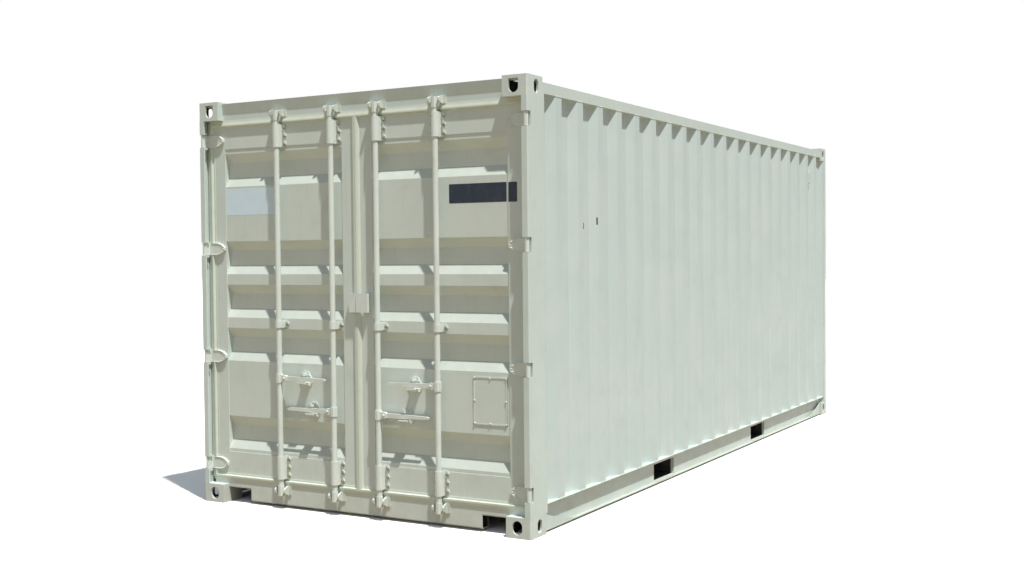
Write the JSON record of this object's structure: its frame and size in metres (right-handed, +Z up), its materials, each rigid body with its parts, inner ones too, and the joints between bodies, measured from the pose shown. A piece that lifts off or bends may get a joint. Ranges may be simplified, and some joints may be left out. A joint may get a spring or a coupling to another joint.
{
  "type": "shipping container",
  "caption": "Twenty-foot dry freight container: corrugated steel box on corner castings, with hinged double doors, locking bars, fork pockets and a board floor.",
  "frame": {"origin": "under the middle of the box, on the plane of the bottom corner castings' lower faces", "axes": "+X from the doors to the closed end, +Y to the left side seen from outside the doors, +Z up"},
  "size_m": [6.058, 2.438, 2.591],
  "materials": {
    "frame_paint": "weathered satin paint",
    "wall_paint": "weathered satin paint",
    "door_paint": "weathered satin paint",
    "gear_paint": "worn satin paint with rust at the edges",
    "roof_paint": "weathered satin paint",
    "under_paint": "matt undercoating",
    "seal": "painted over, matt",
    "boards": "oiled plywood"
  },
  "bodies": {
    "container": {"castings_front_bottom": "frame_paint", "castings_front_top": "frame_paint", "castings_rear_bottom": "frame_paint", "castings_rear_top": "frame_paint", "rear_post_left": "frame_paint", "rear_post_right": "frame_paint", "front_post_left": "frame_paint", "front_post_right": "frame_paint", "door_header": "frame_paint", "door_sill": "frame_paint", "cam_keepers": "gear_paint", "bottom_side_rail_left": "frame_paint", "bottom_side_rail_right": "frame_paint", "rail_gussets": "frame_paint", "top_side_rail_left": "frame_paint", "top_side_rail_right": "frame_paint", "front_bottom_rail": "frame_paint", "front_top_rail": "frame_paint", "side_wall_left": "wall_paint", "side_wall_right": "wall_paint", "front_wall": "wall_paint", "side_vents": "wall_paint", "roof": "roof_paint", "floor": "boards", "cross_members": "under_paint", "fork_pockets": "under_paint"},
    "left_door": {"left_door_frame": "door_paint", "left_door_panel": "door_paint", "left_door_gasket": "seal", "left_hinge_blades": "gear_paint", "left_bar_brackets": "gear_paint", "left_handle_catches": "gear_paint", "left_joint_guard": "gear_paint"},
    "right_door": {"right_door_frame": "door_paint", "right_door_panel": "door_paint", "right_door_gasket": "seal", "right_hinge_blades": "gear_paint", "right_bar_brackets": "gear_paint", "right_handle_catches": "gear_paint", "right_joint_guard": "gear_paint"},
    "locking_bar_1": {"bar_1": "gear_paint"},
    "locking_bar_2": {"bar_2": "gear_paint"},
    "locking_bar_3": {"bar_3": "gear_paint"},
    "locking_bar_4": {"bar_4": "gear_paint"}
  },
  "joints": [
    {"name": "left_door_hinge", "type": "hinge", "parent": "container", "child": "left_door", "pos_m": [-3.013, 1.2, 1.3], "axis": [0, 0, -1], "range_deg": [0, 265]},
    {"name": "right_door_hinge", "type": "hinge", "parent": "container", "child": "right_door", "pos_m": [-3.013, -1.2, 1.3], "axis": [0, 0, 1], "range_deg": [0, 265]},
    {"name": "bar_1_turn", "type": "hinge", "parent": "left_door", "child": "locking_bar_1", "pos_m": [-3.0045, 0.593, 1.3], "axis": [0, 0, 1], "range_deg": [-90, 0]},
    {"name": "bar_2_turn", "type": "hinge", "parent": "left_door", "child": "locking_bar_2", "pos_m": [-3.0045, 0.168, 1.3], "axis": [0, 0, -1], "range_deg": [-90, 0]},
    {"name": "bar_3_turn", "type": "hinge", "parent": "right_door", "child": "locking_bar_3", "pos_m": [-3.0045, -0.168, 1.3], "axis": [0, 0, 1], "range_deg": [-90, 0]},
    {"name": "bar_4_turn", "type": "hinge", "parent": "right_door", "child": "locking_bar_4", "pos_m": [-3.0045, -0.593, 1.3], "axis": [0, 0, -1], "range_deg": [-90, 0]}
  ]
}
